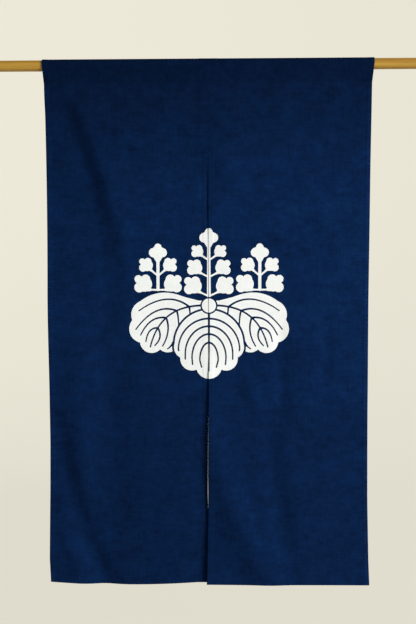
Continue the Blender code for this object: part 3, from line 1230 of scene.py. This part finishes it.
    def outer_leaf(self, x: Array, z: Array) -> Array:
        """Return the distance to the white of the leaf at the side.

        A great disc gives its arched top, a wedge from the boss its shoulder and a disc its core. The rest
        is round lobes.
        """
        white = np.maximum(self.side_crown.distance(x, z), -6.0 - z)
        shoulder = tapered_line(x, z, np.array(self.side_shoulder), 17.6, 47.5)
        white = np.minimum(soft_union(white, shoulder, 4.0), self.side_core.distance(x, z))
        for lobe in self.side_leaf:
            white = soft_union(white, lobe.distance(x, z), 1.0)
        midrib = bezier(self.side_midrib, np.linspace(0.0, 1.0, 30))
        white = np.maximum(white, -tapered_line(x, z, midrib, self.line, 0.75 * self.line))
        t = np.linspace(0.0, 1.0, 20)
        lines = [vein.branch(self.side_midrib, t) for vein in self.side_veins]
        for line in (*lines, bezier(self.side_stub, t)):
            white = np.maximum(white, -tapered_line(x, z, line, self.line, 0.65 * self.line))
        return white

    def distance(self, x: Array, z: Array) -> Array:
        """Return the distance to the crest's white at each place."""
        x = np.abs(x)
        outline, middle = self.middle_leaf(x, z)
        beside = np.maximum(self.outer_leaf(x, z), 2.0 * self.line - outline)
        leaves = np.minimum(middle, beside)
        boss = np.hypot(x, z) - self.boss
        leaves = np.maximum(leaves, self.boss_ring - boss)
        stalks = np.maximum(self.flower_stalks(x, z), self.boss_ring - boss)
        return np.minimum(np.minimum(leaves, stalks), boss)


@dataclass(frozen=True)
class PrintedCrest:
    """The half of the crest that lies on one width, as a thin closed layer on the cloth's face.

    The drawing's distance is worked out on a fine square grid. Each cell is two triangles, and those that the
    outline crosses are cut where the distance, taken as straight along their edges, is zero.
    """

    width: WidthOfCloth
    drawing: LeafCrest
    center: tuple[float, float] = (0.0023, -0.6217)
    half_size: float = 0.2105
    top: float = 0.2050
    foot: float = -0.1935
    step: float = 1.3 * MM
    slit_margin: float = 0.7 * MM
    proud: float = 0.18 * MM
    rooted: float = 0.12 * MM
    least_cut: float = 0.08
    # Painted shade on the white next to the slit's edge.
    slit_shade: float = 0.20

    def field(self, x: Array, z: Array) -> Array:
        """Return the drawing's distance in metres, ending a little short of the slit edge."""
        drawn = MM * self.drawing.distance((x - self.center[0]) / MM, (z - self.center[1]) / MM)
        from_slit = self.width.from_edges(x, z)[0]
        distance = np.maximum(drawn, self.slit_margin - from_slit)
        least = self.least_cut * self.step
        return np.where(distance < 0.0, np.minimum(distance, -least), np.maximum(distance, least))

    def cut_out(self) -> tuple[Array, Array]:
        """Cut the white out of the grid.

        Returns:
            The places as rows of (x, z), and the triangles between them, turned to face the front.
        """
        sign = self.width.side.value
        reach = np.arange(-8 * MM, self.half_size, self.step)
        x_axis = np.sort(self.center[0] + sign * reach)
        z_axis = self.center[1] + np.arange(self.foot, self.top, self.step)
        x, z = np.meshgrid(x_axis, z_axis)
        value = self.field(x, z).reshape(-1)
        nodes = np.stack([x.reshape(-1), z.reshape(-1)], axis=1)
        a, b, c, d = quads(np.arange(x.size).reshape(x.shape)).T
        triangles = np.concatenate([np.stack([a, b, c], axis=1), np.stack([a, c, d], axis=1)])

        inside = value[triangles] < 0.0
        count = inside.sum(1)
        whole = triangles[count == 3]
        odd_one = np.argmax(inside == (count == 1)[:, None], axis=1)
        turned = np.take_along_axis(triangles, (odd_one[:, None] + np.arange(3)) % 3, axis=1)
        tips, stumps = turned[count == 1], turned[count == 2]

        edges = np.concatenate([tips[:, [0, 1]], tips[:, [0, 2]], stumps[:, [0, 1]], stumps[:, [0, 2]]])
        keys, place = np.unique(edges.min(1) * len(nodes) + edges.max(1), return_inverse=True)
        low, high = np.divmod(keys, len(nodes))
        share = (value[low] / (value[low] - value[high]))[:, None]
        nodes = np.concatenate([nodes, nodes[low] + share * (nodes[high] - nodes[low])])
        place = place.reshape(-1) + len(value)
        tip_first, tip_last, stump_first, stump_last = np.split(
            place, np.cumsum([len(tips), len(tips), len(stumps)])
        )
        faces = np.concatenate(
            [
                whole,
                np.stack([tips[:, 0], tip_first, tip_last], axis=1),
                np.stack([stump_first, stumps[:, 1], stumps[:, 2]], axis=1),
                np.stack([stump_first, stumps[:, 2], stump_last], axis=1),
            ]
        )
        used, faces = np.unique(faces, return_inverse=True)
        return nodes[used], faces.reshape(-1, 3)

    def mesh(self) -> Mesh:
        """Build the layer: its front and back, and walls along every outline edge."""
        places, front = self.cut_out()
        count = len(places)
        x, q = places.T
        points = np.concatenate([self.width.face(x, q, self.proud), self.width.face(x, q, -self.rooted)])
        runs = np.concatenate([front[:, [0, 1]], front[:, [1, 2]], front[:, [2, 0]]])
        lone = ~np.isin(runs[:, 0] * count + runs[:, 1], runs[:, 1] * count + runs[:, 0])
        a, b = runs[lone].T
        walls = np.stack([b, a, a + count, b + count], axis=1)
        back = front[:, ::-1] + count

        cloth = np.concatenate([places, places])
        bake = np.concatenate(two_sided_map(places))
        corners = np.concatenate([front.reshape(-1), back.reshape(-1), walls.reshape(-1)])
        flat_walls = np.concatenate([front.reshape(-1), back.reshape(-1), walls.reshape(-1) % count])
        # Painted shade on the white along the slit's edge.
        edge = self.slit_shade * bell(self.width.from_edges(x, q)[0], 2.0 * MM)
        maps = {CLOTH_MAP: cloth[corners], BAKE_MAP: bake[flat_walls]}
        return Mesh(points, [front, back, walls], maps, {PAINTED_SHADE: np.concatenate([edge, edge])})

    def dress(self, material: bpy.types.Material) -> bpy.types.Object:
        """Make this half of the crest."""
        piece = self.mesh().to_object(f"crest_{self.width.side.name.lower()}", material, math.radians(40))
        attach(piece, BODY)
        return piece


# -------- Rod


@dataclass(frozen=True)
class Pole:
    """The round wooden rod: a profile of radius against x, turned about the X axis."""

    low: Vector
    high: Vector
    sides: int = 64
    chamfer: float = 1.5 * MM

    @property
    def radius(self) -> float:
        """Return the rod's radius."""
        return (self.high.z - self.low.z) / 2

    def mesh(self) -> Mesh:
        """Build the rod: its end faces in three rings, a rounded edge, and its length in even rings."""
        bend = np.linspace(0.0, math.pi / 2, 5)
        edge_x = self.chamfer * (1.0 - np.sin(bend))[::-1]
        edge_r = self.radius - self.chamfer * (1.0 - np.cos(bend))[::-1]
        face_r = self.radius * np.array([0.02, 0.35, 0.7])
        start_x = np.concatenate([np.zeros(3), edge_x[::-1]])
        start_r = np.concatenate([face_r, edge_r])
        middle = np.linspace(self.low.x, self.high.x, 42)[1:-1]
        x = np.concatenate([self.low.x + start_x, middle, (self.high.x - start_x)[::-1]])
        r = np.concatenate([start_r, np.full(len(middle), self.radius), start_r[::-1]])
        points, ids = turned(x, r, self.sides)
        return Mesh(points, [quads(ids, around=True), ids[:1, ::-1], ids[-1:]])

    def dress(self, material: bpy.types.Material) -> bpy.types.Object:
        """Make the rod and put it in its CAD solid's place."""
        piece = self.mesh().to_object("rod_pole", material, math.radians(50))
        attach(piece, BODY)
        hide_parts("rod")
        return piece


# -------- Stage


@dataclass(frozen=True)
class Studio:
    """A pale floor that curves up into a round wall, soft light, and the camera in front."""

    floor: float = -1.95
    floor_radius: float = 3.6
    wall_radius: float = 6.6
    wall_top: float = 5.2
    paint: Triple = (0.20, 0.195, 0.17)
    glow: Triple = (0.635, 0.608, 0.520)
    air: Triple = (1.0, 0.985, 0.95)
    air_strength: float = 0.30
    key_place: Triple = (12.8, -5.7, 0.3)
    key_target: Triple = (0.0, 0.0, -0.7)
    key_power: float = 3400.0

    def backdrop(self) -> bpy.types.Object:
        """Build the floor and wall as one profile turned about Z: flat, a quarter circle, then upright."""
        cove = self.wall_radius - self.floor_radius
        bend = np.linspace(0.0, math.pi / 2, 25)
        radius = np.concatenate([[0.02, 1.8], self.floor_radius + cove * np.sin(bend), [self.wall_radius]])
        height = np.concatenate([[0.0, 0.0], cove * (1.0 - np.cos(bend)), [self.wall_top - self.floor]])
        points, ids = turned(self.floor + height, radius, 96)
        board = NodeBoard("pale_paint")
        paint = board.principled(
            {
                "Base Color": opaque(self.paint),
                "Roughness": 0.95,
                "Specular IOR Level": 0.1,
                "Emission Color": opaque(self.glow),
                "Emission Strength": 1.0,
            }
        )
        mesh = Mesh(points[:, [1, 2, 0]], [quads(ids, around=True)[:, ::-1], ids[:1]])
        backdrop = mesh.to_object("studio_backdrop", paint)
        backdrop.visible_shadow = False
        backdrop.visible_diffuse = False
        return backdrop

    def air_light(self) -> None:
        """Fill the studio with even pale light."""
        world = bpy.data.worlds.new("studio_air")
        world.use_nodes = True
        background = world.node_tree.nodes["Background"]
        background.inputs["Color"].default_value = opaque(self.air)
        background.inputs["Strength"].default_value = self.air_strength
        bpy.context.scene.world = world

    def key_light(self) -> None:
        """Hang the square soft light far out to the right, so that the folds show."""
        lamp = bpy.data.lights.new("key_light", "AREA")
        lamp.shape = "SQUARE"
        lamp.size = 4.5
        lamp.energy = self.key_power
        lamp.color = (1.0, 0.985, 0.955)
        thing = bpy.data.objects.new("key_light", lamp)
        thing.location = self.key_place
        aim = Vector(self.key_target) - Vector(self.key_place)
        thing.rotation_euler = aim.to_track_quat("-Z", "Y").to_euler()
        bpy.context.scene.collection.objects.link(thing)

    @staticmethod
    def camera() -> None:
        """Set the camera in front, a little right of the middle and looking slightly left and down."""
        data = bpy.data.cameras.new("front_camera")
        data.lens = 51.92
        data.sensor_width = 36.0
        data.sensor_fit = "AUTO"
        data.clip_end = 60.0
        camera = bpy.data.objects.new("front_camera", data)
        turn = Matrix.Rotation(math.radians(1.2256), 4, "Z")
        tilt = Matrix.Rotation(math.radians(90.0 - 2.2922), 4, "X")
        roll = Matrix.Rotation(math.radians(-0.1145), 4, "Z")
        camera.matrix_world = Matrix.Translation((0.0501, -2.3464, -0.5447)) @ turn @ tilt @ roll
        bpy.context.scene.collection.objects.link(camera)
        bpy.context.scene.camera = camera

    def set_up(self) -> None:
        """Build the whole studio."""
        self.backdrop()
        self.air_light()
        self.key_light()
        self.camera()
        bpy.context.scene.view_settings.view_transform = "Standard"


def main() -> None:
    """Build the curtain on its rod, piece by piece, and the studio round it."""
    rod_low, rod_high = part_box("rod")
    # The indigo takes the painted light and a painted edge highlight; the white takes neither.
    indigo = WovenCotton("indigo_cotton_cloth", (0.0024, 0.0158, 0.0660), 1.0, 1.0, 0.44).material()
    white = WovenCotton("white_cotton_cloth", (0.905, 0.935, 0.93), 0.0, 0.14, 0.0).material()
    thread = SpunThread("indigo_thread", (0.0022, 0.0130, 0.0520)).material()
    wood = OiledPole("oiled_pole", (0.51, 0.292, 0.036), (0.39, 0.195, 0.021)).material()

    pole = Pole(rod_low, rod_high)
    rod = pole.dress(wood)
    LOG.info("%s: radius %.4f m, %d faces", rod.name, pole.radius, len(rod.data.polygons))

    for side in Side:
        cloth_low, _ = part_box(f"panel_{side.name.lower()}")
        path = PocketPath(rod_radius=pole.radius, bottom=cloth_low.z + DROOPS[side].most)
        width = WidthOfCloth(side, path)
        cloth = width.dress(indigo)
        stitches = Stitching(width).dress(thread)
        crest = PrintedCrest(width, LeafCrest()).dress(white)
        flat = width.flat_size()
        LOG.info("%s: cut %.3f x %.3f m, %d faces", cloth.name, *flat, len(cloth.data.polygons))
        LOG.info("%s: %d faces", stitches.name, len(stitches.data.polygons))
        LOG.info("%s: %d faces", crest.name, len(crest.data.polygons))

    Studio().set_up()


if __name__ == "__main__":
    logging.basicConfig(level=logging.INFO, format="%(name)s: %(message)s")
    main()
